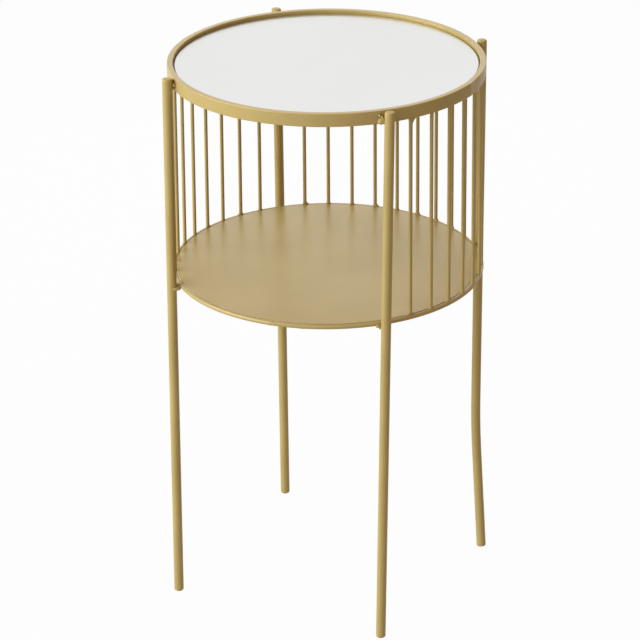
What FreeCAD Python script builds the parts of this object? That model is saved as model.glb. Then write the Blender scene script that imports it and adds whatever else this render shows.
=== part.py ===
import FreeCAD, Part
import os
import Sketcher

# Tiered side table: a mirror top in a flat-bar hoop, a round shelf on a rod rim, a gallery of
# wires between the two on three sides, and four rod legs that stand outside the hoop.
# Millimetres and degrees. The origin is on the floor under the middle of the table, +Z is up,
# the open side of the gallery faces -Y, and angles run counter-clockwise from +X.

doc = FreeCAD.newDocument("TieredSideTable")

# Driving dimensions
SIZES = [
    ("top_height", 576, "floor to the top edge of the hoop"),
    ("hoop_diameter", 320, "outside of the hoop"),
    ("hoop_bar", 6, "radial thickness of the hoop's flat bar"),
    ("hoop_depth", 13.5, "height of the hoop's flat bar"),
    ("hoop_edge", 0.8, "rounding of the hoop's edges"),
    ("leg_angle", 45, "angle of the back-right leg; the others follow at quarter turns"),
    ("back_left_angle", -1.1, "turn of the back-left leg off its quarter point"),
    ("front_left_angle", 1.7, "turn of the front-left leg off its quarter point"),
    ("front_right_angle", -0.4, "turn of the front-right leg off its quarter point"),
    ("back_left_lean", 2.4, "how far the back-left leg's top lies to the side of its foot"),
    ("front_left_splay", 4.4, "how far the front-left foot stands out beyond the leg's top"),
    ("front_right_lean", 8.2, "how far the front-right leg's top lies to the side of its foot"),
    ("leg_diameter", 10, "leg rod"),
    ("leg_gap", 2.4, "between the hoop's outer face and a leg"),
    ("leg_rise", 0.5, "leg top above the hoop"),
    ("leg_top_round", 1.5, "rounding of a leg's top edge"),
    ("foot_round", 2, "rounding of a leg's bottom edge"),
    ("bend_height", 140, "floor to the corner of the bent leg"),
    ("bend_angle", 9.5, "lean of the bent leg below its corner"),
    ("bend_radius", 350, "radius of the bend"),
    ("hoop_pin", 3.6, "diameter of the pins between hoop and legs"),
    ("hoop_pin_drop", 7, "hoop's top edge down to the pins' axis"),
    ("shelf_height", 355, "floor to the top of the shelf and its rim"),
    ("rim_rod", 4.6, "diameter of the shelf's rim rod"),
    ("rim_stand", 0.2, "how far the rim's axis lies outside the wires' axes"),
    ("shelf_sheet", 1.2, "thickness of the shelf's sheet"),
    ("sheet_gap", 0.15, "clearance between the sheet and its rim"),
    ("shelf_pin", 3.2, "diameter of the pins between shelf and legs"),
    ("wire_diameter", 3.8, "gallery wire"),
    ("wire_inset", 1.5, "hoop's outer face in to the wires' axes at the shelf"),
    ("right_turn_angle", 4.5, "turn of the right side's wires off centre"),
    ("right_step_angle", 9.3, "angle from one wire to the next on the right"),
    ("back_turn_angle", -1.9, "turn of the back's wires off centre"),
    ("back_step_angle", 9.3, "angle from one wire to the next at the back"),
    ("left_turn_angle", -1.1, "turn of the left side's wires off centre"),
    ("left_step_angle", 8.8, "angle from one wire to the next on the left"),
    ("mirror_recess", 3.5, "hoop's top edge down to the mirror"),
    ("mirror_glass", 4, "thickness of the mirror"),
    ("mirror_gap", 0.9, "clearance between mirror and hoop"),
    ("mirror_arris", 0.5, "ground edge of the mirror"),
    ("board_thickness", 3, "backing board under the mirror"),
    ("board_gap", 1.5, "clearance between backing board and hoop"),
    ("tab_thickness", 2, "support tabs under the backing board"),
    ("tab_reach", 12, "how far a tab reaches in from the hoop"),
    ("tab_angle", 7, "angle that a tab covers"),
    ("tab_gap", 0.1, "weld clearance between a tab and the hoop"),
]
CORNERS = (
    ("back_right", "0", "0", "0"),
    ("back_left", "Sizes.back_left_angle", "0", "Sizes.back_left_lean"),
    ("front_left", "Sizes.front_left_angle", "Sizes.front_left_splay", "0"),
    ("front_right", "Sizes.front_right_angle", "0", "Sizes.front_right_lean"),
)
BENT_LEG = "back_right"
SIDES = ("right", "back", "left")
WIRES_PER_SIDE = 9
QUARTER_TURN = 90

sheet = doc.addObject("Spreadsheet::Sheet", "Sizes")
for row, (alias, value, meaning) in enumerate(SIZES, start=1):
    sheet.set("A%d" % row, meaning)
    sheet.set("B%d" % row, str(value))
    sheet.setAlias("B%d" % row, alias)
doc.recompute()

# Radii and heights that several pieces share
HOOP_OUTER = "(Sizes.hoop_diameter / 2)"
HOOP_INNER = "(Sizes.hoop_diameter / 2 - Sizes.hoop_bar)"
HOOP_BOTTOM = "(Sizes.top_height - Sizes.hoop_depth)"
LEG_TOP = "(Sizes.top_height + Sizes.leg_rise)"
LEG_CIRCLE = "(Sizes.hoop_diameter / 2 + Sizes.leg_gap + Sizes.leg_diameter / 2)"
WIRE_CIRCLE = "(Sizes.hoop_diameter / 2 - Sizes.wire_inset)"
WIRE_HEADS = "(Sizes.hoop_diameter / 2 - Sizes.hoop_bar / 2)"
RIM_CIRCLE = "(%s + Sizes.rim_stand)" % WIRE_CIRCLE
RIM_MIDDLE = "(Sizes.shelf_height - Sizes.rim_rod / 2)"
MIRROR_TOP = "(Sizes.top_height - Sizes.mirror_recess)"
BOARD_TOP = "(%s - Sizes.mirror_glass)" % MIRROR_TOP
TAB_TOP = "(%s - Sizes.board_thickness)" % BOARD_TOP

UP = FreeCAD.Vector(0, 0, 1)
parts = []


def leg_turn(quarters, turn="0"):
    """Return the expression of an angle that lies some quarter turns and a turn past the first leg."""
    return "(Sizes.leg_angle + %g + %s)" % (quarters * QUARTER_TURN, turn)


def size(expression):
    """Return an expression of the sheet's sizes as a number."""
    return float(sheet.evalExpression(expression))


def bind(item, **expressions):
    """Tie properties of an object to expressions of the sheet's sizes."""
    for name, expression in expressions.items():
        item.setExpression(name, expression)


def place(item, x="0", y="0", z="0"):
    """Tie an object's position to expressions and count it as a finished sub-part."""
    for axis, expression in zip("xyz", (x, y, z)):
        item.setExpression("Placement.Base." + axis, expression)
    parts.append(item)


def polar(radius, angle):
    """Return the x and y expressions of a point at a radius and an angle."""
    return "%s * cos(%s)" % (radius, angle), "%s * sin(%s)" % (radius, angle)


def radial(angle):
    """Return the rotation that lays a cylinder's axis along the outward direction."""
    return FreeCAD.Rotation(UP, angle) * FreeCAD.Rotation(FreeCAD.Vector(0, 1, 0), QUARTER_TURN)


def new_body(name):
    """Start a PartDesign body."""
    body = doc.addObject("PartDesign::Body", name)
    body.Label = name
    return body


def new_sketch(body, role, name):
    """Start a sketch on one of a body's own origin planes."""
    sketch = body.newObject("Sketcher::SketchObject", name)
    plane = [item for item in body.Origin.OriginFeatures if item.Role == role][0]
    sketch.AttachmentSupport = (plane, "")
    sketch.MapMode = "FlatFace"
    return sketch


def dimension(sketch, kind, *where, to):
    """Add a dimension whose value is an expression of the sheet's sizes."""
    index = sketch.addConstraint(Sketcher.Constraint(kind, *where, size(to)))
    sketch.setExpression("Constraints[%d]" % index, to)


def draw_circle(sketch, radius):
    """Draw a circle about the sketch's origin."""
    middle = FreeCAD.Vector(0, 0, 0)
    circle = sketch.addGeometry(Part.Circle(middle, UP, size(radius)))
    sketch.addConstraint(Sketcher.Constraint("Coincident", circle, 3, -1, 1))
    dimension(sketch, "Radius", circle, to=radius)


def draw_section(sketch, inner, outer, depth):
    """Draw a ring's rectangular section, standing on the sketch's x axis."""
    left, right, height = size(inner), size(outer), size(depth)
    corners = [(left, 0), (right, 0), (right, height), (left, height)]
    points = [FreeCAD.Vector(x, y, 0) for x, y in corners]
    for index, point in enumerate(points):
        sketch.addGeometry(Part.LineSegment(point, points[(index + 1) % 4]))
    for index in range(4):
        sketch.addConstraint(Sketcher.Constraint("Coincident", index, 2, (index + 1) % 4, 1))
        direction = "Horizontal" if index % 2 == 0 else "Vertical"
        sketch.addConstraint(Sketcher.Constraint(direction, index))
    sketch.addConstraint(Sketcher.Constraint("PointOnObject", 0, 1, -1))
    dimension(sketch, "DistanceX", -1, 1, 0, 1, to=inner)
    dimension(sketch, "DistanceX", -1, 1, 0, 2, to=outer)
    dimension(sketch, "DistanceY", 1, 1, 1, 2, to=depth)


def round_edges(body, kind, amount, wanted):
    """Round or chamfer the edges of a body's last feature that a test picks."""
    doc.recompute()
    base = body.Tip
    names = ["Edge%d" % number for number, edge in enumerate(base.Shape.Edges, start=1) if wanted(edge)]
    finish = body.newObject("PartDesign::" + kind, body.Name + "_" + kind)
    finish.Base = (base, names)
    bind(finish, **{"Radius" if kind == "Fillet" else "Size": amount})


def make_ring(name, inner, outer, depth, angle="360"):
    """Make a ring, or a piece of one about +X, of rectangular section."""
    body = new_body(name)
    sketch = new_sketch(body, "XZ_Plane", name + "_section")
    draw_section(sketch, inner, outer, depth)
    ring = body.newObject("PartDesign::Revolution", name + "_turn")
    ring.Profile = sketch
    ring.ReferenceAxis = (sketch, ["V_Axis"])
    ring.Midplane = True
    bind(ring, Angle=angle)
    return body


def make_disc(name, radius, thickness):
    """Make a disc that rises from its own origin."""
    body = new_body(name)
    sketch = new_sketch(body, "XY_Plane", name + "_outline")
    draw_circle(sketch, radius)
    pad = body.newObject("PartDesign::Pad", name + "_pad")
    pad.Profile = sketch
    bind(pad, Length=thickness)
    return body


def make_rod(name, diameter, length):
    """Make a plain round rod."""
    rod = doc.addObject("Part::Cylinder", name)
    rod.Label = name
    bind(rod, Radius=diameter + " / 2", Height=length)
    return rod


def ring_edges(low, high):
    """Return a test that picks the circular edges whose middle lies between two heights."""
    def wanted(edge):
        return isinstance(edge.Curve, Part.Circle) and low <= edge.BoundBox.Center.z <= high
    return wanted


def round_leg(body):
    """Round the top edge and the bottom edge of a leg."""
    doc.recompute()
    box = body.Shape.BoundBox
    reach = size("Sizes.leg_diameter")
    round_edges(body, "Fillet", "Sizes.leg_top_round", ring_edges(box.ZMax - reach, box.ZMax))
    round_edges(body, "Fillet", "Sizes.foot_round", ring_edges(box.ZMin, box.ZMin + reach))


def draw_bent_path(sketch):
    """Draw a leg's axis: straight down, round the bend, and leaning along +X to the foot."""
    lean = "Sizes.bend_angle"
    tangent = "(Sizes.bend_radius * tan(%s / 2))" % lean
    foot_flat = "(Sizes.leg_diameter / 2 - Sizes.foot_round)"
    foot_height = "(Sizes.foot_round * (1 - cos(%s)) + %s * sin(%s))" % (lean, foot_flat, lean)
    foot_shift = "((Sizes.bend_height - %s) * tan(%s))" % (foot_height, lean)
    top = FreeCAD.Vector(0, size(LEG_TOP), 0)
    corner = FreeCAD.Vector(0, size("Sizes.bend_height"), 0)
    foot = FreeCAD.Vector(size(foot_shift), size(foot_height), 0)
    start = corner + (top - corner).normalize() * size(tangent)
    stop = corner + (foot - corner).normalize() * size(tangent)
    centre = start + FreeCAD.Vector(size("Sizes.bend_radius"), 0, 0)
    outward = ((start + stop) * 0.5 - centre).normalize()
    middle = centre + outward * size("Sizes.bend_radius")
    upper = sketch.addGeometry(Part.LineSegment(top, start))
    bend = sketch.addGeometry(Part.Arc(start, middle, stop))
    lower = sketch.addGeometry(Part.LineSegment(stop, foot))
    sketch.addConstraint(Sketcher.Constraint("PointOnObject", upper, 1, -2))
    sketch.addConstraint(Sketcher.Constraint("Vertical", upper))
    sketch.addConstraint(Sketcher.Constraint("Tangent", upper, 2, bend, 1))
    sketch.addConstraint(Sketcher.Constraint("Tangent", bend, 2, lower, 1))
    dimension(sketch, "DistanceY", -1, 1, upper, 1, to=LEG_TOP)
    dimension(sketch, "DistanceY", -1, 1, upper, 2, to="Sizes.bend_height + " + tangent)
    dimension(sketch, "Radius", bend, to="Sizes.bend_radius")
    dimension(sketch, "DistanceX", -1, 1, lower, 2, to=foot_shift)
    dimension(sketch, "DistanceY", -1, 1, lower, 2, to=foot_height)


def make_slanted_rod(name, diameter, height, inward, lean="0"):
    """Make a rod with level ends whose top lies inward along its own -X and leans along its +Y."""
    body = make_disc(name, diameter + " / 2", height)
    body.Tip.UseCustomVector = True
    bind(body.Tip, **{"Direction.x": "-" + inward, "Direction.y": lean, "Direction.z": height})
    return body


def make_bent_leg(name):
    """Make the leg that leans along its own +X below a bend and stands on its rounded foot."""
    body = new_body(name)
    path = new_sketch(body, "XZ_Plane", name + "_path")
    draw_bent_path(path)
    section = new_sketch(body, "XY_Plane", name + "_section")
    draw_circle(section, "Sizes.leg_diameter / 2")
    section.setExpression("AttachmentOffset.Base.z", LEG_TOP)
    doc.recompute()
    pipe = body.newObject("PartDesign::AdditivePipe", name + "_pipe")
    pipe.Profile = section
    pipe.Spine = (path, ["Edge%d" % number for number in range(1, 4)])
    round_leg(body)
    return body


# Top: hoop, support tabs, backing board and mirror
hoop = make_ring("top_hoop", HOOP_INNER, HOOP_OUTER, "Sizes.hoop_depth")
doc.recompute()
round_edges(hoop, "Fillet", "Sizes.hoop_edge", ring_edges(0, size("Sizes.hoop_depth")))
place(hoop, z=HOOP_BOTTOM)

for quarter, (corner, turn, splay, lean) in enumerate(CORNERS):
    tab = make_ring("support_tab_" + corner, HOOP_INNER + " - Sizes.tab_reach",
                    HOOP_INNER + " - Sizes.tab_gap", "Sizes.tab_thickness", "Sizes.tab_angle")
    tab.Placement.Rotation = FreeCAD.Rotation(UP, size(leg_turn(quarter, turn)))
    place(tab, z=TAB_TOP + " - Sizes.tab_thickness")

board = make_disc("backing_board", HOOP_INNER + " - Sizes.board_gap", "Sizes.board_thickness")
place(board, z=TAB_TOP)

mirror = make_disc("mirror_top", HOOP_INNER + " - Sizes.mirror_gap", "Sizes.mirror_glass")
doc.recompute()
round_edges(mirror, "Chamfer", "Sizes.mirror_arris", ring_edges(0, size("Sizes.mirror_glass")))
place(mirror, z=BOARD_TOP)

# Shelf: rod rim with a sheet that lies on its inner shoulder, level with its top
rim = doc.addObject("Part::Torus", "shelf_rim")
bind(rim, Radius1=RIM_CIRCLE, Radius2="Sizes.rim_rod / 2")
place(rim, z=RIM_MIDDLE)

SHEET_SEAT = "(Sizes.rim_rod / 2 - Sizes.shelf_sheet)"
SHEET_INSET = "(sqrt((Sizes.rim_rod / 2) ^ 2 - %s ^ 2) + Sizes.sheet_gap)" % SHEET_SEAT
shelf = make_disc("shelf_sheet", RIM_CIRCLE + " - " + SHEET_INSET, "Sizes.shelf_sheet")
place(shelf, z="Sizes.shelf_height - Sizes.shelf_sheet")

# Legs, and the pins that hold them off the hoop and the shelf
RIM_OUTER = "(%s + Sizes.rim_rod / 2)" % RIM_CIRCLE
HOOP_PIN_HEIGHT = "(Sizes.top_height - Sizes.hoop_pin_drop)"


def join_leg(name, diameter, start, height, angle, splay, lean):
    """Make the pin that reaches a leg at a height, from a ring's outer face to the leg's face."""
    share = "(%s / %s)" % (height, LEG_TOP)
    outward = "(%s + %s * (1 - %s))" % (LEG_CIRCLE, splay, share)
    sideways = "(%s * %s)" % (lean, share)
    reach = "sqrt(%s ^ 2 + %s ^ 2)" % (outward, sideways)
    pin = make_rod(name, diameter, "%s - Sizes.leg_diameter / 2 - %s" % (reach, start))
    turned = "(%s + atan(%s / %s) / 1 deg)" % (angle, sideways, outward)
    pin.Placement.Rotation = radial(size(turned))
    x, y = polar(start, turned)
    place(pin, x, y, height)


for quarter, (corner, turn, splay, lean) in enumerate(CORNERS):
    angle = leg_turn(quarter, turn)
    if corner == BENT_LEG:
        leg = make_bent_leg("leg_" + corner)
        leg.Placement.Rotation = FreeCAD.Rotation(UP, size(angle) - QUARTER_TURN)
    else:
        leg = make_slanted_rod("leg_" + corner, "Sizes.leg_diameter", LEG_TOP, splay, lean)
        round_leg(leg)
        leg.Placement.Rotation = FreeCAD.Rotation(UP, size(angle))
    x, y = polar("(%s + %s)" % (LEG_CIRCLE, splay), angle)
    place(leg, x, y)
    join_leg("hoop_pin_" + corner, "Sizes.hoop_pin", HOOP_OUTER, HOOP_PIN_HEIGHT, angle, splay, lean)
    join_leg("shelf_pin_" + corner, "Sizes.shelf_pin", RIM_OUTER, RIM_MIDDLE, angle, splay, lean)

# Gallery wires, from the rim's crown to the middle of the hoop's bar
WIRE_LENGTH = "(%s - Sizes.shelf_height)" % HOOP_BOTTOM
WIRE_SLANT = "(%s - %s)" % (WIRE_CIRCLE, WIRE_HEADS)

for quarter, side in enumerate(SIDES):
    side_middle = leg_turn(quarter - 0.5)
    for number in range(1, WIRES_PER_SIDE + 1):
        steps = number - (WIRES_PER_SIDE + 1) / 2
        angle = "(%s + Sizes.%s_turn_angle + %g * Sizes.%s_step_angle)" % (side_middle, side, steps, side)
        name = "wire_%s_%d" % (side, number)
        wire = make_slanted_rod(name, "Sizes.wire_diameter", WIRE_LENGTH, WIRE_SLANT)
        wire.Placement.Rotation = FreeCAD.Rotation(UP, size(angle))
        x, y = polar(WIRE_CIRCLE, angle)
        place(wire, x, y, "Sizes.shelf_height")

# Check and export
doc.recompute()
for item in doc.Objects:
    if "Invalid" in item.State or "Error" in item.State:
        raise RuntimeError("failed object: " + item.Label)
for part in parts:
    if part.Shape.isNull() or not part.Shape.isValid():
        raise RuntimeError("bad shape: " + part.Label)
os.makedirs("parts", exist_ok=True)
for part in parts:
    part.Shape.exportStep(os.path.join("parts", part.Label + ".step"))
    print("%-28s %10.1f mm3, %d solid" % (part.Label, part.Shape.Volume, len(part.Shape.Solids)))
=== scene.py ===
# %% [markdown]
# # A tiered side table with a mirror top
#
# This lesson dresses a small welded table: a flat-bar hoop that holds a mirror, a round shelf on a rod
# rim, a gallery of thin wires between the two, and four rod legs. The CAD model already has every piece
# at its real size and place. Blender adds what a drawing leaves out: the joints of the rolled bars, the
# weld beads, the paint, the glass and the light.

# %% Load the frame
import math
import bmesh
import bpy
from mathutils import Matrix, Vector


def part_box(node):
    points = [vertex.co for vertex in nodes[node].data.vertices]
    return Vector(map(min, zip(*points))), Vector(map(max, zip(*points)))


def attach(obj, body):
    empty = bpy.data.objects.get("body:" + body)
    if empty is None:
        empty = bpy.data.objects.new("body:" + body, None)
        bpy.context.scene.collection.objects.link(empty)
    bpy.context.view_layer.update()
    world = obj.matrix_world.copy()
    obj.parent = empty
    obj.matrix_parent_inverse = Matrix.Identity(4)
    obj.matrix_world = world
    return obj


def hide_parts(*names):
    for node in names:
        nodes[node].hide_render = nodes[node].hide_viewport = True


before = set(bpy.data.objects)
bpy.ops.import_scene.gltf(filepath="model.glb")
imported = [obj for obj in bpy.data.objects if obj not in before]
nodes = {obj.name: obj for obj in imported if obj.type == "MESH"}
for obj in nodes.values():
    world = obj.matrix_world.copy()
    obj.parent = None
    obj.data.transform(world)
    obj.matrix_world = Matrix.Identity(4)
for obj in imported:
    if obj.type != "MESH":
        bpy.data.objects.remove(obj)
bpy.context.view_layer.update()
MM = 0.001

# %% [markdown]
# ## Reading sizes off the CAD pieces
#
# Sizes could be typed in again, but then they could drift from the model. Every node's place is in its
# mesh, so small helpers measure it instead: the middle of a node's box, its lowest and highest point, how
# near to and how far from the table's upright middle line it reaches, and the middle of a rod's end.

# %% Measuring helpers
END_SLACK = 0.01 * MM


def middle_of(node):
    """Return the middle of a CAD node's box."""
    low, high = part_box(node)
    return (low + high) / 2


def heights_of(node):
    """Return the lowest and the highest point of a CAD node."""
    low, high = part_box(node)
    return low.z, high.z


def radii_of(node):
    """Return a CAD node's smallest and largest distance from the table's middle line."""
    distances = [math.hypot(point.co.x, point.co.y) for point in nodes[node].data.vertices]
    return min(distances), max(distances)


def end_middle(node, height):
    """Return the middle of a CAD rod's round end at a height."""
    points = [point.co for point in nodes[node].data.vertices if abs(point.co.z - height) < END_SLACK]
    spans = [(min(values), max(values)) for values in zip(*points)]
    return Vector([(low + high) / 2 for low, high in spans])


hoop_inner, hoop_outer = radii_of("top_hoop")
hoop_bottom, hoop_top = heights_of("top_hoop")
print("hoop from radius %.4f to %.4f" % (hoop_inner, hoop_outer))
print("hoop from height %.4f to %.4f" % (hoop_bottom, hoop_top))

# %% [markdown]
# ## Tools of the bench
#
# An operator works on whatever is selected, and the loaded CAD nodes are selected, so each piece starts
# with a clean selection. In edit mode, points and edges are picked in code by where they lie and faces by
# the way they face, which takes the place of clicking on them.

# %% Selection helpers
def clear_selection():
    """Go to object mode with nothing selected."""
    if bpy.context.mode != "OBJECT":
        bpy.ops.object.mode_set(mode="OBJECT")
    bpy.ops.object.select_all(action="DESELECT")


def open_piece():
    """Put a new primitive's place into its mesh and open it in edit mode, with all of it selected."""
    bpy.ops.object.transform_apply(location=True, rotation=True, scale=True)
    bpy.ops.object.mode_set(mode="EDIT")
    bpy.ops.mesh.select_all(action="SELECT")
    return bpy.context.object


def pick_points(piece, wanted):
    """Select the points of the open piece whose place passes a test."""
    bpy.ops.mesh.select_mode(type="VERT")
    bpy.ops.mesh.select_all(action="DESELECT")
    mesh = bmesh.from_edit_mesh(piece.data)
    for point in mesh.verts:
        point.select_set(wanted(point.co))
    mesh.select_flush_mode()
    bmesh.update_edit_mesh(piece.data)


def pick_edges(piece, wanted):
    """Select the edges of the open piece whose two ends both pass a test."""
    bpy.ops.mesh.select_mode(type="EDGE")
    bpy.ops.mesh.select_all(action="DESELECT")
    mesh = bmesh.from_edit_mesh(piece.data)
    for edge in mesh.edges:
        edge.select_set(all(wanted(point.co) for point in edge.verts))
    mesh.select_flush_mode()
    bmesh.update_edit_mesh(piece.data)


def pick_faces(piece, wanted):
    """Select the faces of the open piece whose normal passes a test."""
    bpy.ops.mesh.select_mode(type="FACE")
    bpy.ops.mesh.select_all(action="DESELECT")
    mesh = bmesh.from_edit_mesh(piece.data)
    for face in mesh.faces:
        face.select_set(wanted(face.normal))
    bmesh.update_edit_mesh(piece.data)


# %% [markdown]
# ## From mesh to finished piece
#
# Whatever its shape, a piece ends the same way: its normals point outwards, faces that meet at a shallow
# angle shade as one smooth surface, it gets its finish, it rides on the table's one body, and it stands
# for the CAD nodes that it replaces.

# %% Finishing helpers
SMOOTH_ANGLE = math.radians(40)
MERGE_DISTANCE = 0.002 * MM


def close_mesh(piece, finish):
    """Tidy the open piece's mesh and give it its finish."""
    bpy.ops.mesh.select_mode(type="VERT")
    bpy.ops.mesh.select_all(action="SELECT")
    bpy.ops.mesh.remove_doubles(threshold=MERGE_DISTANCE)
    bpy.ops.mesh.normals_make_consistent(inside=False)
    bpy.ops.object.mode_set(mode="OBJECT")
    bpy.ops.object.shade_smooth_by_angle(angle=SMOOTH_ANGLE)
    piece.data.materials.append(finish)
    return piece


def finish_faces(piece, finish, wanted):
    """Give the faces whose normal passes a test a finish of their own."""
    piece.data.materials.append(finish)
    bpy.ops.object.mode_set(mode="EDIT")
    pick_faces(piece, wanted)
    piece.active_material_index = len(piece.data.materials) - 1
    bpy.ops.object.material_slot_assign()
    bpy.ops.object.mode_set(mode="OBJECT")


def settle(piece, name, slot, *replaced):
    """Name a piece, let it ride on the table, and let it stand for CAD nodes."""
    piece.name = name
    piece.data.name = name
    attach(piece, "root")
    if replaced:
        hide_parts(*replaced)


# %% [markdown]
# ## Patterns for the finishes
#
# No surface is one flat colour. Each finish below reads Object coordinates, which are metres here, so the
# scale of a noise pattern is the number of its features per metre. One helper adds a noise, one spreads a
# pattern over a range of values, one spreads it over colours, and one turns it into a fine relief. A noise
# seldom reaches 0 or 1, so only its middle range is spread.

# %% Pattern helpers
NOISE_LOW = 0.3
NOISE_HIGH = 0.7


def new_finish(name):
    """Start a material and return it with its node tree and its shader."""
    finish = bpy.data.materials.new(name)
    finish.use_nodes = True
    tree = finish.node_tree
    return finish, tree, tree.nodes["Principled BSDF"]


def add_noise(tree, scale, detail=2.0, stretch=(1, 1, 1)):
    """Add a noise on Object coordinates and return its value."""
    place = tree.nodes.new("ShaderNodeTexCoord")
    mapping = tree.nodes.new("ShaderNodeMapping")
    mapping.inputs["Scale"].default_value = stretch
    pattern = tree.nodes.new("ShaderNodeTexNoise")
    pattern.inputs["Scale"].default_value = scale
    pattern.inputs["Detail"].default_value = detail
    tree.links.new(place.outputs["Object"], mapping.inputs["Vector"])
    tree.links.new(mapping.outputs["Vector"], pattern.inputs["Vector"])
    return pattern.outputs["Fac"]


def spread_values(tree, value, low, high):
    """Spread a noise's middle range from a low value to a high one."""
    spread = tree.nodes.new("ShaderNodeMapRange")
    spread.inputs["From Min"].default_value = NOISE_LOW
    spread.inputs["From Max"].default_value = NOISE_HIGH
    spread.inputs["To Min"].default_value = low
    spread.inputs["To Max"].default_value = high
    tree.links.new(value, spread.inputs["Value"])
    return spread.outputs["Result"]


def spread_colours(tree, value, first, last):
    """Spread a noise's middle range from one colour to another."""
    ramp = tree.nodes.new("ShaderNodeValToRGB")
    ramp.color_ramp.elements[0].position = NOISE_LOW
    ramp.color_ramp.elements[1].position = NOISE_HIGH
    ramp.color_ramp.elements[0].color = (*first, 1)
    ramp.color_ramp.elements[1].color = (*last, 1)
    tree.links.new(value, ramp.inputs["Fac"])
    return ramp.outputs["Color"]


def add_relief(tree, value, depth, strength, under=None):
    """Turn a noise into a relief of some depth in metres, on top of another relief."""
    bump = tree.nodes.new("ShaderNodeBump")
    bump.inputs["Distance"].default_value = depth
    bump.inputs["Strength"].default_value = strength
    tree.links.new(value, bump.inputs["Height"])
    if under:
        tree.links.new(under, bump.inputs["Normal"])
    return bump.outputs["Normal"]


# %% [markdown]
# ## Satin gold paint
#
# All the steel is powder coated in a satin gold. Such a coat is a clear binder with metal flakes in it:
# mostly a matt gold, a little metallic, with a pale sheen on top that grows at shallow angles. A fully
# metallic shader would look like polished brass, so the paint is mainly diffuse with a thin coat. A slow
# cloud shifts the colour slightly, a fine grain stands for the flakes, and the relief has the soft orange
# peel of a baked powder. Powder settles from above, so the sheet of the shelf and the upper faces of the
# rings took a fuller coat with more gloss, while the rods stayed nearly matt. Weld beads show through the
# paint as a rougher skin. The recipe takes the coat and the skin as settings.

# %% Gold paint
GOLD_DEEP = (0.455, 0.324, 0.110)
GOLD_PALE = (0.510, 0.368, 0.131)
CLOUD_SCALE = 16
FLAKE_GOLD = (0.60, 0.44, 0.17)
FLAKE_SCALE = 2600
FLAKE_SHARE = 0.3
FLAKE_DEPTH = 0.01 * MM
FLAKE_STRENGTH = 0.2
PEEL_SCALE = 420
PEEL_STRENGTH = 0.5
SMOOTH_PEEL = 0.03 * MM
ROUGH_PEEL = 0.25 * MM
SATIN_SCALE = 55
SATIN_ROUGHNESS = (0.30, 0.37)
METAL_SHARE = 0.1
SPECULAR_LEVEL = 0.08
COAT_ROUGHNESS = 0.3


def mix_flakes(tree, paint, flakes):
    """Lay pale flakes thinly over the paint's colour."""
    mix = tree.nodes.new("ShaderNodeMix")
    mix.data_type = "RGBA"
    mix.inputs["B"].default_value = (*FLAKE_GOLD, 1)
    tree.links.new(spread_values(tree, flakes, 0.0, FLAKE_SHARE), mix.inputs["Factor"])
    tree.links.new(paint, mix.inputs["A"])
    return mix.outputs["Result"]


def gold_paint(name, coat, peel_depth):
    """Make the satin gold paint with a clear coat of some weight and an orange peel of some depth."""
    finish, tree, shader = new_finish(name)
    flakes = add_noise(tree, FLAKE_SCALE, detail=1.0)
    paint = spread_colours(tree, add_noise(tree, CLOUD_SCALE), GOLD_DEEP, GOLD_PALE)
    tree.links.new(mix_flakes(tree, paint, flakes), shader.inputs["Base Color"])
    roughness = spread_values(tree, add_noise(tree, SATIN_SCALE), *SATIN_ROUGHNESS)
    tree.links.new(roughness, shader.inputs["Roughness"])
    peel = add_relief(tree, add_noise(tree, PEEL_SCALE), peel_depth, PEEL_STRENGTH)
    grain = add_relief(tree, flakes, FLAKE_DEPTH, FLAKE_STRENGTH, peel)
    tree.links.new(grain, shader.inputs["Normal"])
    shader.inputs["Metallic"].default_value = METAL_SHARE
    shader.inputs["Specular IOR Level"].default_value = SPECULAR_LEVEL
    shader.inputs["Coat Weight"].default_value = coat
    shader.inputs["Coat Roughness"].default_value = COAT_ROUGHNESS
    return finish


rod_gold = gold_paint("rod_gold_paint", coat=0.0, peel_depth=SMOOTH_PEEL)
sheet_gold = gold_paint("sheet_gold_paint", coat=0.9, peel_depth=SMOOTH_PEEL)
weld_gold = gold_paint("weld_gold_paint", coat=0.2, peel_depth=ROUGH_PEEL)
print("gold paints:", rod_gold.name, sheet_gold.name, weld_gold.name)

# %% [markdown]
# ## Rolled rings
#
# The hoop is a flat bar and the shelf's rim is a round rod, and both were bent into a ring on three rolls.
# A ring could start as a tube or a torus primitive, but then its section would be fixed. Here the section
# is drawn once, as the bar's end looks, and spun about the table's middle line, which is what the rolls do.
# The spin starts at the joint, so that a row of points lies exactly there.

# %% Spinning a section
RING_STEPS = 240
STEP = math.tau / RING_STEPS
ROW_SLACK = STEP / 8
UPRIGHT = math.radians(90)


def outward(angle):
    """Return the level direction that points away from the middle line at an angle."""
    return Vector((math.cos(angle), math.sin(angle), 0))


def spin_section():
    """Spin the open section once round the table and close the ring."""
    bpy.ops.mesh.select_all(action="SELECT")
    bpy.ops.mesh.spin(steps=RING_STEPS, angle=math.tau, center=(0, 0, 0), axis=(0, 0, 1))
    bpy.ops.mesh.select_all(action="SELECT")
    bpy.ops.mesh.remove_doubles(threshold=MERGE_DISTANCE)
    bpy.ops.mesh.normals_make_consistent(inside=False)


def on_row(angle, slack=ROW_SLACK):
    """Return a test for points that lie at an angle, seen from above."""
    def wanted(place):
        return Vector((place.x, place.y, 0)).angle(outward(angle)) < slack
    return wanted


# %% [markdown]
# ## The hoop
#
# The bar's end is a rectangle with eased corners: a plane, bevelled at its four points. After the spin, a
# narrow inset ring on each flat side keeps the soft shading of the eased corners off the flats. Then the
# joint is shaped. Rolls can't reach the last centimetre of a bar, so both ends stay straight and meet in a
# slight peak, which shows on the right of the hoop as a change of shade. The butt weld there was ground
# down to a low ridge: the row of edges is bevelled into a narrow band and its middle swells.

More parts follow.
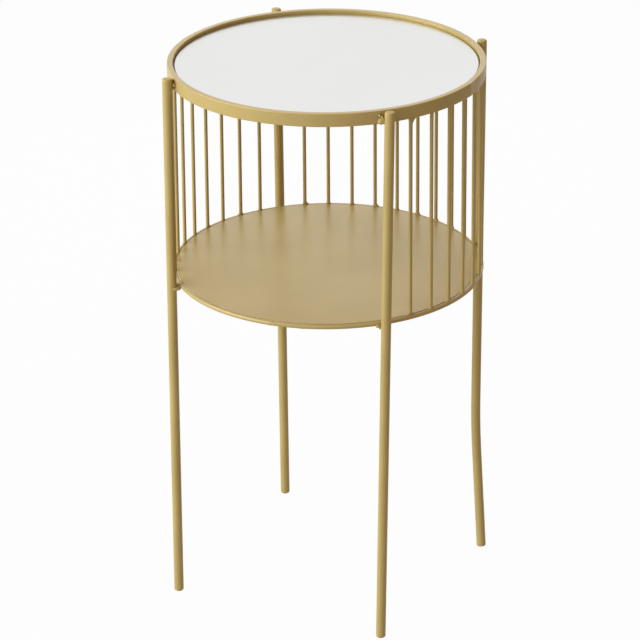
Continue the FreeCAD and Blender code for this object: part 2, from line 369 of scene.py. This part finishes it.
# %% Hoop section and spin
HOOP_EASE = 0.8 * MM
HOOP_INSET = HOOP_EASE / 4
HOOP_JOINT = math.radians(-2)
FLAT_FACE = 0.99
LEVEL_FACE = 0.05

clear_selection()
section_middle = outward(HOOP_JOINT) * (hoop_inner + hoop_outer) / 2
section_middle.z = (hoop_bottom + hoop_top) / 2
bpy.ops.mesh.primitive_plane_add(size=1, location=section_middle, rotation=(UPRIGHT, 0, HOOP_JOINT))
bpy.context.object.scale = (hoop_outer - hoop_inner, hoop_top - hoop_bottom, 1)
hoop = open_piece()
bpy.ops.mesh.bevel(offset=HOOP_EASE, segments=3, affect="VERTICES")
bpy.ops.mesh.select_all(action="SELECT")
bpy.ops.mesh.delete(type="ONLY_FACE")
spin_section()
for side in (1, -1):
    pick_faces(hoop, lambda normal: normal.z * side > FLAT_FACE)
    bpy.ops.mesh.inset(thickness=HOOP_INSET, depth=0)
pick_faces(hoop, lambda normal: abs(normal.z) < LEVEL_FACE)
bpy.ops.mesh.inset(thickness=HOOP_INSET, depth=0)
print("hoop points after the spin:", len(hoop.data.vertices))

# %% Hoop joint
STRAIGHT_END = 15 * MM
SEAM_WIDTH = 2.2 * MM
SEAM_SWELL = 0.14 * MM
UPWARD = 0.6


def straighten_ends(piece, joint, radius):
    """Pull the rows beside a ring's joint out onto the two straight ends of its bar."""
    reach = STRAIGHT_END / radius
    rows = int(reach / STEP)
    for row in range(-rows, rows + 1):
        angle = joint + row * STEP
        rise = radius / math.cos(reach - abs(row) * STEP) - radius
        pick_points(piece, on_row(angle))
        bpy.ops.transform.translate(value=outward(angle) * rise)


def swell_seam(piece, joint):
    """Turn the row of edges at a joint into a narrow band with a raised middle."""
    pick_edges(piece, on_row(joint))
    bpy.ops.mesh.bevel(offset=SEAM_WIDTH / 2, segments=2, affect="EDGES")
    pick_points(piece, on_row(joint))
    bpy.ops.transform.shrink_fatten(value=SEAM_SWELL)


straighten_ends(hoop, HOOP_JOINT, hoop_outer)
swell_seam(hoop, HOOP_JOINT)
settle(close_mesh(hoop, rod_gold), "rolled_hoop", "gold_paint", "top_hoop")
finish_faces(hoop, sheet_gold, lambda normal: normal.z > UPWARD)
print("hoop faces:", len(hoop.data.polygons))

# %% [markdown]
# ## The shelf's rim
#
# The rim is a rod, so its section is a circle. Its two ends meet at the front, left of the middle, where
# the weld was ground level with the shelf. That leaves a short flat on top of the rod, with a small lump
# of weld at each end of it. The flat is made by squashing the upper points of those rows to one height.

# %% Rim
ROD_SIDES = 20
RIM_JOINT = math.radians(281.3)
GROUND_ROWS = 3
GROUND_DEPTH = 0.5 * MM
RIM_LUMP = 0.22 * MM

rim_inner, rim_outer = radii_of("shelf_rim")
rim_bottom, rim_top = heights_of("shelf_rim")
rim_radius = (rim_inner + rim_outer) / 2
clear_selection()
section_middle = outward(RIM_JOINT) * rim_radius
section_middle.z = (rim_bottom + rim_top) / 2
bpy.ops.mesh.primitive_circle_add(vertices=ROD_SIDES, radius=(rim_top - rim_bottom) / 2,
                                  location=section_middle, rotation=(UPRIGHT, 0, RIM_JOINT))
rim = open_piece()
spin_section()
ground = on_row(RIM_JOINT, (GROUND_ROWS + 0.5) * STEP)
pick_points(rim, lambda place: ground(place) and place.z > rim_top - 2 * GROUND_DEPTH)
bpy.ops.transform.resize(value=(1, 1, 0), center_override=(0, 0, rim_top - GROUND_DEPTH))
for end in (-GROUND_ROWS - 1, GROUND_ROWS + 1):
    pick_points(rim, on_row(RIM_JOINT + end * STEP))
    bpy.ops.transform.shrink_fatten(value=RIM_LUMP)
settle(close_mesh(rim, rod_gold), "rolled_rim", "gold_paint", "shelf_rim")
finish_faces(rim, sheet_gold, lambda normal: normal.z > UPWARD)
print("rim faces:", len(rim.data.polygons))

# %% [markdown]
# ## The shelf's sheet
#
# The shelf is a disc of thin steel that lies on the inner shoulder of the rim. A circle with one face is
# raised by its thickness, and both of its edges get a small round, because a sheared edge that has been
# painted is never sharp and its round catches a line of light beside the rim. Smooth shading would let
# that round bend the light on the whole flat face, so an inset ring inside the edge keeps the face flat.

# %% Shelf sheet
DISC_SIDES = 192
SHEET_EASE = 0.3 * MM
SHEET_INSET = 2 * SHEET_EASE


def raise_disc(radius, bottom, top):
    """Raise a disc from a circle with one face and leave it open in edit mode."""
    clear_selection()
    bpy.ops.mesh.primitive_circle_add(vertices=DISC_SIDES, radius=radius, fill_type="NGON",
                                      location=(0, 0, bottom))
    piece = open_piece()
    bpy.ops.mesh.extrude_region_move(TRANSFORM_OT_translate={"value": (0, 0, top - bottom)})
    return piece


def at_height(height):
    """Return a test for points that lie at a height."""
    return lambda place: abs(place.z - height) < MERGE_DISTANCE


def ease_disc(piece, bottom, top, amount, segments):
    """Round or chamfer the two edges of an open disc."""
    for height in (bottom, top):
        pick_edges(piece, at_height(height))
        bpy.ops.mesh.bevel(offset=amount, segments=segments, affect="EDGES")


def ring_faces(piece, height, width):
    """Lay an inset ring inside the edge of an open disc's flat face at a height."""
    pick_points(piece, at_height(height))
    bpy.ops.mesh.select_mode(type="FACE")
    bpy.ops.mesh.inset(thickness=width, depth=0)


sheet_radius = radii_of("shelf_sheet")[1]
sheet_bottom, sheet_top = heights_of("shelf_sheet")
shelf = raise_disc(sheet_radius, sheet_bottom, sheet_top)
ease_disc(shelf, sheet_bottom, sheet_top, SHEET_EASE, segments=2)
for height in (sheet_bottom, sheet_top):
    ring_faces(shelf, height, SHEET_INSET)
settle(close_mesh(shelf, sheet_gold), "shelf_plate", "gold_paint", "shelf_sheet")
print("shelf radius %.4f, faces %d" % (sheet_radius, len(shelf.data.polygons)))

# %% [markdown]
# ## Bars that swell
#
# A wire that is welded at both ends isn't a plain cylinder: the weld metal widens it where it meets the
# rim and the hoop. The same is true of the short pins that hold the legs. Such a bar grows from a circle
# by extruding, moving and scaling its end face from one station to the next. A station is a place with
# the half-widths of the bar there.

# %% Growing a bar
BAR_SIDES = 20


def grow_bar(stations, turn=(0, 0, 0)):
    """Grow a closed bar through stations of place and half-widths, and leave it open in edit mode."""
    place, widths = stations[0]
    clear_selection()
    bpy.ops.mesh.primitive_circle_add(vertices=BAR_SIDES, radius=1, fill_type="NGON",
                                      location=place, rotation=turn)
    piece = open_piece()
    bpy.ops.transform.resize(value=widths, center_override=place)
    for next_place, next_widths in stations[1:]:
        move = Vector(next_place) - Vector(place)
        change = [after / before for after, before in zip(next_widths, widths)]
        bpy.ops.mesh.extrude_region_move(TRANSFORM_OT_translate={"value": move})
        bpy.ops.transform.resize(value=change, center_override=next_place)
        place, widths = next_place, next_widths
    return piece


# %% [markdown]
# ## Gallery wires
#
# Each wire stands on the rim's crown and ends under the hoop. Its fillet of weld runs along the rim, so it
# reaches out sideways and not towards the middle. Hand welds differ: most are neat, some run out to one
# side, and a few are fat. Each kind is modelled once, at angle zero, and copies are turned to their places.

# %% One wire of each kind
wire_bottom, wire_top = heights_of("wire_right_1")
wire_foot = end_middle("wire_right_1", wire_bottom)
wire_head = end_middle("wire_right_1", wire_top)
foot_circle = math.hypot(wire_foot.x, wire_foot.y)
head_circle = math.hypot(wire_head.x, wire_head.y)
wire_radius = foot_circle - min(math.hypot(point.co.x, point.co.y)
                                for point in nodes["wire_right_1"].data.vertices
                                if point.co.z < wire_bottom + END_SLACK)
FOOT_SINK = 1.2 * MM
HEAD_SINK = FOOT_SINK / 4
FILLET_LEVELS = (0, 0.2, 0.45, 0.7, 1)


def wire_line(height):
    """Return how far from the middle line a wire's axis lies at a height."""
    share = (height - wire_bottom) / (wire_top - wire_bottom)
    return foot_circle + (head_circle - foot_circle) * share


def fillet_stations(end, inward, height, left, right):
    """Return stations of a weld fillet that thins out from a wire's end into the wire."""
    stations = []
    for level in FILLET_LEVELS:
        spare = (1 - level) ** 2
        widths = (wire_radius, wire_radius + (left + right) / 2 * spare, 1)
        rise = end + inward * height * level
        stations.append(((wire_line(rise), (right - left) / 2 * spare, rise), widths))
    return stations


def sunk(station, depth):
    """Return a copy of a station that lies deeper in what the wire stands on."""
    place, widths = station
    return (place[0], place[1], place[2] + depth), widths


def make_wire(foot, head):
    """Make a wire with a weld fillet at its foot and at its head, each as height, left and right reach."""
    low = fillet_stations(wire_bottom, 1, *foot)
    high = fillet_stations(wire_top, -1, *head)
    stations = [sunk(low[0], -FOOT_SINK), *low, *reversed(high), sunk(high[0], HEAD_SINK)]
    return close_mesh(grow_bar(stations), rod_gold)


# Each weld fillet as its height and its reach to the left and to the right.
NEAT = (2.2 * MM, 0.9 * MM, 0.9 * MM)
LEFT = (3.6 * MM, 3.0 * MM, 0.8 * MM)
RIGHT = (3.6 * MM, 0.8 * MM, 3.0 * MM)
FAT = (3.2 * MM, 2.2 * MM, 2.2 * MM)
LONG = (4.5 * MM, 4.6 * MM, 2.6 * MM)
GUSSET = (7.5 * MM, 0.8 * MM, 5.5 * MM)
print("wire radius %.5f, foot circle %.4f, head circle %.4f" % (wire_radius, foot_circle, head_circle))

# %% [markdown]
# The photograph shows which feet are neat and which are not, and the table below says so for the three
# sides, in the order of the CAD nodes. Feet that the photograph hides are neat or slightly uneven.

# %% All wires
FOOT_WELDS = {
    "right": (LONG, NEAT, LEFT, NEAT, NEAT, RIGHT, FAT, NEAT, NEAT),
    "back": (NEAT, FAT, FAT, FAT, NEAT, LEFT, NEAT, NEAT, LEFT),
    "left": (NEAT, FAT, NEAT, LEFT, NEAT, RIGHT, NEAT, NEAT, NEAT),
}
HEAD_WELDS = {"right": {1: GUSSET, 4: LEFT}, "back": {3: RIGHT}, "left": {2: LEFT}}


def choose(piece):
    """Select one piece and make it the active one."""
    clear_selection()
    piece.select_set(True)
    bpy.context.view_layer.objects.active = piece


def turn_to(piece, angle):
    """Turn a finished piece about the table's middle line, with the turn in its mesh."""
    choose(piece)
    piece.rotation_euler = (0, 0, angle)
    bpy.ops.object.transform_apply(location=False, rotation=True, scale=False)
    return piece


def turned_copy(pattern, angle):
    """Copy a pattern with its mesh and turn the copy to its place."""
    choose(pattern)
    bpy.ops.object.duplicate()
    return turn_to(bpy.context.object, angle)


def drop_pattern(pattern):
    """Delete a pattern once all its copies are made."""
    choose(pattern)
    bpy.ops.object.delete()


def angle_of(node):
    """Return the angle at which a CAD node stands, seen from above."""
    middle = middle_of(node)
    return math.atan2(middle.y, middle.x)


wire_places = {}
for side, feet in FOOT_WELDS.items():
    for number, foot in enumerate(feet, start=1):
        kind = (foot, HEAD_WELDS[side].get(number, NEAT))
        wire_places.setdefault(kind, []).append("wire_%s_%d" % (side, number))
for (foot, head), wire_nodes in wire_places.items():
    pattern = make_wire(foot, head)
    for node in wire_nodes:
        settle(turned_copy(pattern, angle_of(node)), "gallery_" + node, "gold_paint", node)
    drop_pattern(pattern)
print("kinds of gallery wire:", len(wire_places))

# %% [markdown]
# ## Welded pins
#
# A short pin holds each leg off the hoop, and another off the rim. On the real table they are little more
# than a neck of weld: wide where it wets the hoop, narrow in the middle and wide again on the leg. The
# neck grows outwards along the radius. A few random pushes on its points, smoothed afterwards, give the
# lumps of a hand weld.

# %% Pins between the frame and the legs
CORNERS = ("front_left", "front_right", "back_left", "back_right")
LUMP_PUSH = 0.25 * MM
NECK_LEVELS = ((-0.35, 1.75), (0.1, 1.5), (0.3, 1.1), (0.5, 1.0), (0.7, 1.12), (0.95, 1.55), (1.4, 1.7))


def roughen(piece, push, seed):
    """Push the points of the open piece about a little and smooth them again."""
    bpy.ops.mesh.select_all(action="SELECT")
    bpy.ops.transform.vertex_random(offset=push, uniform=0.5, normal=0.6, seed=seed)
    bpy.ops.mesh.vertices_smooth(factor=0.4, repeat=1)


def make_neck(inner, outer, height, pin_radius, seed):
    """Make a neck of weld along the radius at angle zero, between two distances from the middle line."""
    stations = []
    for level, swell in NECK_LEVELS:
        width = pin_radius * swell
        stations.append(((inner + (outer - inner) * level, 0, height), (1, width, width)))
    neck = grow_bar(stations, turn=(0, UPRIGHT, 0))
    roughen(neck, LUMP_PUSH, seed)
    return neck


for seed, corner in enumerate(CORNERS):
    for pin in ("hoop_pin_" + corner, "shelf_pin_" + corner):
        inner, outer = radii_of(pin)
        low, high = heights_of(pin)
        neck = close_mesh(make_neck(inner, outer, (low + high) / 2, (high - low) / 2, seed), weld_gold)
        settle(turn_to(neck, angle_of(pin)), "welded_" + pin, "gold_paint", pin)
print("necks of weld:", 2 * len(CORNERS))

# %% [markdown]
# ## Weld lumps
#
# Where a leg touches the frame, the welder also ran a bead into the narrow corner beside the pin. A bead
# is a small uneven blob. An ico sphere is stretched to its size, pushed about and smoothed, and then sits
# half sunk in both parts. At the front-left leg a tall bead closes the corner behind the hoop's pin and a
# small one lies before it; at the shelf one bead runs along the rim behind the pin, and one before it
# reaches across to the leg. At the front-right leg a large bead ran out along the hoop, with spatter above
# it, and a smaller one tapers off along the rim.

# %% Beads beside the pins
LUMP_DETAIL = 3
LUMP_SHARE = 0.22
FIRST_SEED = 11


def make_lump(place, sizes, seed):
    """Make an uneven blob of weld of some half-sizes at angle zero."""
    clear_selection()
    bpy.ops.mesh.primitive_ico_sphere_add(subdivisions=LUMP_DETAIL, radius=1, location=place)
    bpy.context.object.scale = sizes
    lump = open_piece()
    roughen(lump, LUMP_SHARE * min(sizes), seed)
    return lump


hoop_middle = (hoop_bottom + hoop_top) / 2
rim_middle = (rim_bottom + rim_top) / 2
# Each bead as its place and its half-sizes, in millimetres: off the ring, along it and in height.
HOOP_BEADS = {
    "front_left": (((1.2, 3.4, -0.6), (1.9, 2.4, 5.6)), ((1.2, -2.6, 0.3), (1.7, 2.0, 1.8))),
    "front_right": (((1.6, 4.8, -3.2), (4.4, 5.6, 3.4)), ((3.0, 7.4, -1.3), (1.9, 1.7, 1.5)),
                    ((4.2, 5.7, -0.9), (1.7, 1.4, 1.4)), ((2.3, 6.1, 1.1), (2.4, 1.2, 1.1)),
                    ((0.8, 7.7, 2.3), (1.6, 1.3, 1.1))),
    "back_left": (((1.4, 3.2, -2.0), (2.0, 2.2, 3.0)),),
    "back_right": (((1.4, 3.2, -2.0), (2.0, 2.2, 3.0)),),
}
SHELF_BEADS = {
    "front_left": (((2.0, 4.8, -0.6), (1.9, 4.8, 1.8)), ((4.6, -4.3, -0.9), (4.8, 2.0, 1.9))),
    "front_right": (((1.6, 6.4, -0.9), (2.3, 3.2, 1.6)), ((1.7, 3.9, -2.6), (2.3, 2.3, 2.6))),
    "back_left": (((1.8, 2.6, -1.0), (1.9, 2.6, 1.5)),),
    "back_right": (((1.8, 2.6, -1.0), (1.9, 2.6, 1.5)),),
}


def lay_beads(ring, corner, beads, radius, height, seed):
    """Lay the beads of one joint, placed in mm off the ring's face, clockwise of its pin and in height."""
    pin = "%s_pin_%s" % (ring, corner)
    for number, (place, sizes) in enumerate(beads, start=1):
        off, aside, rise = Vector(place) * MM
        lump = make_lump((radius + off, -aside, height + rise), Vector(sizes) * MM, seed + number)
        bead = turn_to(close_mesh(lump, weld_gold), angle_of(pin))
        settle(bead, "%s_bead_%s_%d" % (ring, corner, number), "gold_paint")


for seed, corner in enumerate(CORNERS, start=FIRST_SEED):
    lay_beads("hoop", corner, HOOP_BEADS[corner], hoop_outer, hoop_middle, seed)
    lay_beads("shelf", corner, SHELF_BEADS[corner], rim_outer, rim_middle, seed)
print("weld beads:", sum(len(beads) for table in (HOOP_BEADS, SHELF_BEADS) for beads in table.values()))

# %% [markdown]
# ## Under the shelf and the top
#
# The photograph doesn't show the table from below, so this part follows common practice: short beads tack
# the sheet to its rim, and four tabs inside the hoop carry the board under the mirror. A tab is a small
# plate: a cube, scaled to its size, whose two free corners are cut round and whose edges are eased. It is
# modelled once and copied to the four corners.

# %% Tack welds under the shelf
TACKS = 12
TACK_SIZES = (1.0 * MM, 4.5 * MM, 0.9 * MM)
TACK_SHIFT = 0.3 * MM
tack_place = (rim_inner + TACK_SHIFT, 0, sheet_bottom - TACK_SHIFT)
tack = close_mesh(make_lump(tack_place, TACK_SIZES, seed=5), weld_gold)
for number in range(TACKS):
    tack_angle = math.tau * (number + 0.5) / TACKS
    settle(turned_copy(tack, tack_angle), "shelf_tack_%d" % (number + 1), "gold_paint")
drop_pattern(tack)
print("tack welds:", TACKS)

# %% Support tabs
TAB_CORNER = 4 * MM
TAB_EASE = 0.3 * MM
TAB_HALF_ANGLE = math.radians(3.5)
tab_inner, tab_outer = radii_of("support_tab_back_right")
tab_bottom, tab_top = heights_of("support_tab_back_right")
tab_width = 2 * tab_inner * math.sin(TAB_HALF_ANGLE)


def make_tab():
    """Make a support tab at angle zero."""
    clear_selection()
    middle = Vector(((tab_inner + tab_outer) / 2, 0, (tab_bottom + tab_top) / 2))
    bpy.ops.mesh.primitive_cube_add(size=1, location=middle)
    bpy.context.object.scale = (tab_outer - tab_inner, tab_width, tab_top - tab_bottom)
    tab = open_piece()
    for side in (-1, 1):
        pick_edges(tab, lambda place: place.x < middle.x and place.y * side > 0)
        bpy.ops.mesh.bevel(offset=TAB_CORNER, segments=5, affect="EDGES")
    for height in (tab_bottom, tab_top):
        pick_edges(tab, at_height(height))
        bpy.ops.mesh.bevel(offset=TAB_EASE, segments=2, affect="EDGES")
    return tab


tab = close_mesh(make_tab(), rod_gold)
for corner in CORNERS:
    node = "support_tab_" + corner
    settle(turned_copy(tab, angle_of(node)), "tab_" + corner, "gold_paint", node)
drop_pattern(tab)
print("tabs %.4f wide, at heights %.4f to %.4f" % (tab_width, tab_bottom, tab_top))

# %% [markdown]
# ## Mirror finishes
#
# A table mirror is a disc of float glass with silver and a grey protective paint on its back, and a ground
# edge. Clear glass over a silver disc would be the full build-up, but from above only the silver shows, so
# the disc's upper face carries the silver itself. In the photograph the hoop's wall is mirrored clearly
# where it meets the disc and fades a few millimetres on, so the face is a little satin, and a slow pattern
# varies it, as wiping does. The ground edge is a pale dull grey with a fine grain, and the back is a matt
# grey paint.

# %% Mirror materials
SILVER_CLEAR = (0.80, 0.805, 0.795)
SILVER_DULL = (0.785, 0.785, 0.775)
ROUGHNESS_CLEAR = 0.21
ROUGHNESS_DULL = 0.25
SMEAR_SCALE = 9
SMEAR_STRETCH = (1, 0.4, 1)
GRAIN_STRENGTH = 0.6
EDGE_DARK = (0.38, 0.39, 0.36)
EDGE_PALE = (0.52, 0.53, 0.49)
BACK_DARK = (0.19, 0.185, 0.18)
BACK_PALE = (0.24, 0.235, 0.225)


def mirror_silver():
    """Make the silvered face of the mirror."""
    finish, tree, shader = new_finish("mirror_silver")
    smears = add_noise(tree, SMEAR_SCALE, detail=4.0, stretch=SMEAR_STRETCH)
    tree.links.new(spread_colours(tree, smears, SILVER_DULL, SILVER_CLEAR), shader.inputs["Base Color"])
    roughness = spread_values(tree, smears, ROUGHNESS_DULL, ROUGHNESS_CLEAR)
    tree.links.new(roughness, shader.inputs["Roughness"])
    shader.inputs["Metallic"].default_value = 1.0
    return finish


def grained(name, first, last, scale, roughness, depth):
    """Make a dull finish with a grain in its colour and its relief."""
    finish, tree, shader = new_finish(name)
    grain = add_noise(tree, scale, detail=5.0)
    tree.links.new(spread_colours(tree, grain, first, last), shader.inputs["Base Color"])
    tree.links.new(add_relief(tree, grain, depth, GRAIN_STRENGTH), shader.inputs["Normal"])
    shader.inputs["Roughness"].default_value = roughness
    return finish


silver = mirror_silver()
ground_edge = grained("mirror_ground_edge", EDGE_DARK, EDGE_PALE, scale=1800, roughness=0.45,
                      depth=0.05 * MM)
back_paint = grained("mirror_back_paint", BACK_DARK, BACK_PALE, scale=300, roughness=0.6,
                     depth=0.02 * MM)
print("mirror finishes:", silver.name, ground_edge.name, back_paint.name)

# %% [markdown]
# ## The mirror
#
# The mirror is a disc again, with a flat arris ground on both edges, which shows as a grey line inside the
# hoop. Its three finishes go to its faces by their normals: up is silver, down is back paint, and the rest
# is the ground edge.

# %% Mirror
MIRROR_ARRIS = 1.0 * MM
mirror_radius = radii_of("mirror_top")[1]
mirror_bottom, mirror_top = heights_of("mirror_top")

mirror = raise_disc(mirror_radius, mirror_bottom, mirror_top)
ease_disc(mirror, mirror_bottom, mirror_top, MIRROR_ARRIS, segments=1)
settle(close_mesh(mirror, ground_edge), "mirror_disc", "mirror", "mirror_top")
finish_faces(mirror, silver, lambda normal: normal.z > FLAT_FACE)
finish_faces(mirror, back_paint, lambda normal: normal.z < -FLAT_FACE)
print("mirror radius %.4f, faces %d" % (mirror_radius, len(mirror.data.polygons)))

# %% [markdown]
# ## Legs and board
#
# The legs and the backing board have their right shape already, so their CAD nodes stay and only get a
# finish. The board is brown hardboard: pressed wood fibres, matt, with a mottled colour and short flecks.

# %% Finishes on CAD nodes
FIBRE_DARK = (0.115, 0.062, 0.030)
FIBRE_PALE = (0.215, 0.125, 0.065)


def dress_node(name, finish):
    """Put a finish on a CAD node that stays in view."""
    materials = nodes[name].data.materials
    materials.clear()
    materials.append(finish)


hardboard = grained("hardboard", FIBRE_DARK, FIBRE_PALE, scale=700, roughness=0.75, depth=0.08 * MM)
dress_node("backing_board", hardboard)
for corner in CORNERS:
    dress_node("leg_" + corner, rod_gold)
print("dressed nodes:", 1 + len(CORNERS))

# %% [markdown]
# ## Camera
#
# The photograph was taken from a little above, with a long lens. Its place was worked out from the ellipses
# of the hoop and the shelf and from the legs, and is given here as a distance, a height and a heading about
# the table, with the tilt and the slight roll of the camera.

# %% Camera
CAMERA_DISTANCE = 2.6758
CAMERA_HEIGHT = 1.5093
CAMERA_HEADING = math.radians(26.427)
CAMERA_TURN = math.radians(0.184)
CAMERA_TILT = math.radians(24.534)
CAMERA_ROLL = math.radians(-0.461)
LENS_WIDTHS = 4.4
SENSOR = 36

camera = bpy.data.objects.new("camera", bpy.data.cameras.new("camera"))
bpy.context.scene.collection.objects.link(camera)
camera.data.sensor_width = SENSOR
camera.data.lens = LENS_WIDTHS * SENSOR
to_camera = Vector((math.sin(CAMERA_HEADING), -math.cos(CAMERA_HEADING), 0))
to_right = Vector((math.cos(CAMERA_HEADING), math.sin(CAMERA_HEADING), 0))
up = Vector((0, 0, 1))
camera_place = to_camera * CAMERA_DISTANCE + up * CAMERA_HEIGHT
camera.matrix_world = (Matrix.Translation(camera_place)
                       @ Matrix.Rotation(CAMERA_HEADING + CAMERA_TURN, 4, "Z")
                       @ Matrix.Rotation(UPRIGHT - CAMERA_TILT, 4, "X")
                       @ Matrix.Rotation(CAMERA_ROLL, 4, "Z"))
bpy.context.scene.camera = camera
print("camera at", tuple(round(value, 3) for value in camera_place))

# %% [markdown]
# ## White studio
#
# The table stands on a pale floor before nothing but white. Flooding the set with light would bleach the
# paint, so the lamps stay at a plain level, and the floor and the surroundings show their white only to
# rays that come from the camera, from a reflection or through glass. A ray that left a matt face before it
# met the mirror would carry that white back as light, so such rays don't count. The floor keeps a share of
# its own shading, and with it a soft shadow.

# %% White for the rays that show it
def combined(tree, operation, first, second):
    """Return two values added or subtracted, kept between 0 and 1."""
    sum_node = tree.nodes.new("ShaderNodeMath")
    sum_node.operation = operation
    sum_node.use_clamp = True
    tree.links.new(first, sum_node.inputs[0])
    tree.links.new(second, sum_node.inputs[1])
    return sum_node.outputs["Value"]


def showing_rays(tree):
    """Return 1 for rays that show a surface to the camera and 0 for those that light a matt face."""
    rays = tree.nodes.new("ShaderNodeLightPath")
    total = rays.outputs["Is Camera Ray"]
    for name in ("Is Glossy Ray", "Is Transmission Ray"):
        total = combined(tree, "ADD", total, rays.outputs[name])
    return combined(tree, "SUBTRACT", total, rays.outputs["Diffuse Depth"])


def mix_shaders(tree, share, first, second):
    """Mix two shaders and return the result."""
    mix = tree.nodes.new("ShaderNodeMixShader")
    tree.links.new(share, mix.inputs["Fac"])
    tree.links.new(first, mix.inputs[1])
    tree.links.new(second, mix.inputs[2])
    return mix.outputs["Shader"]


def scaled(tree, value, share):
    """Return a value times a share."""
    product = tree.nodes.new("ShaderNodeMath")
    product.operation = "MULTIPLY"
    product.inputs[1].default_value = share
    tree.links.new(value, product.inputs[0])
    return product.outputs["Value"]


# %% Surroundings
AMBIENT = 0.35
AMBIENT_COLOUR = (1.0, 0.77, 0.52)

world = bpy.data.worlds.new("white_studio")
bpy.context.scene.world = world
world.use_nodes = True
tree = world.node_tree
tree.nodes.clear()
dim = tree.nodes.new("ShaderNodeBackground")
dim.inputs["Color"].default_value = (*AMBIENT_COLOUR, 1)
dim.inputs["Strength"].default_value = AMBIENT
white = tree.nodes.new("ShaderNodeBackground")
white.inputs["Color"].default_value = (1, 1, 1, 1)
output = tree.nodes.new("ShaderNodeOutputWorld")
shown = mix_shaders(tree, showing_rays(tree), dim.outputs["Background"], white.outputs["Background"])
tree.links.new(shown, output.inputs["Surface"])
print("ambient light:", AMBIENT)

# %% Floor
FLOOR_SIZE = 30
FLOOR_GREY = (0.5, 0.5, 0.5)
FLOOR_GLOW = 0.965

clear_selection()
bpy.ops.mesh.primitive_plane_add(size=FLOOR_SIZE)
floor = bpy.context.object
floor.name = "floor"
floor_paint = bpy.data.materials.new("pale_floor")
floor_paint.use_nodes = True
tree = floor_paint.node_tree
tree.nodes.clear()
matt = tree.nodes.new("ShaderNodeBsdfDiffuse")
matt.inputs["Color"].default_value = (*FLOOR_GREY, 1)
glow = tree.nodes.new("ShaderNodeEmission")
output = tree.nodes.new("ShaderNodeOutputMaterial")
share = scaled(tree, showing_rays(tree), FLOOR_GLOW)
shown = mix_shaders(tree, share, matt.outputs["BSDF"], glow.outputs["Emission"])
tree.links.new(shown, output.inputs["Surface"])
floor.data.materials.append(floor_paint)
print("floor of", FLOOR_SIZE, "metres")

# %% [markdown]
# ## Lamps
#
# In the photograph the left side of every rod is pale and its right side dark, with a smooth run between,
# so the main light is a large soft box that stands on the left. It is a little cool and the light of the
# surroundings is warm, because lit and shaded gold differ that way in the photograph. A second box behind
# the table lifts the shelf and the upper faces. It is kept out of reflections, where it would draw a hard
# bright patch. Both are out of the camera's sight.

# %% Soft boxes
LAMP_AIM = Vector((0, 0, 0.45))
SIDE_SIZE = (3.8, 3.8)
SIDE_POWER = 162
SIDE_COLOUR = (0.88, 1.0, 1.16)
BACK_SIZE = (1.6, 1.0)
BACK_POWER = 20
BACK_COLOUR = (0.95, 1.02, 1.05)


def studio_place(right, front, height):
    """Return a place in the studio, given to the right of the table, towards the camera and in height."""
    return to_right * right + to_camera * front + up * height


def soft_box(name, place, size, power, colour):
    """Set up a soft box that points at the table."""
    lamp = bpy.data.lights.new(name, "AREA")
    lamp.shape = "RECTANGLE"
    lamp.size, lamp.size_y = size
    lamp.energy = power
    lamp.color = colour
    box = bpy.data.objects.new(name, lamp)
    box.location = place
    box.rotation_euler = (LAMP_AIM - place).to_track_quat("-Z", "Y").to_euler()
    box.visible_camera = False
    bpy.context.scene.collection.objects.link(box)
    return box


side_place = studio_place(right=-2.6, front=1.0, height=1.7)
soft_box("side_soft_box", side_place, SIDE_SIZE, SIDE_POWER, SIDE_COLOUR)
back_place = studio_place(right=0.25, front=-1.65, height=1.35)
back_box = soft_box("back_soft_box", back_place, BACK_SIZE, BACK_POWER, BACK_COLOUR)
back_box.visible_glossy = False
bpy.context.scene.view_settings.view_transform = "Standard"
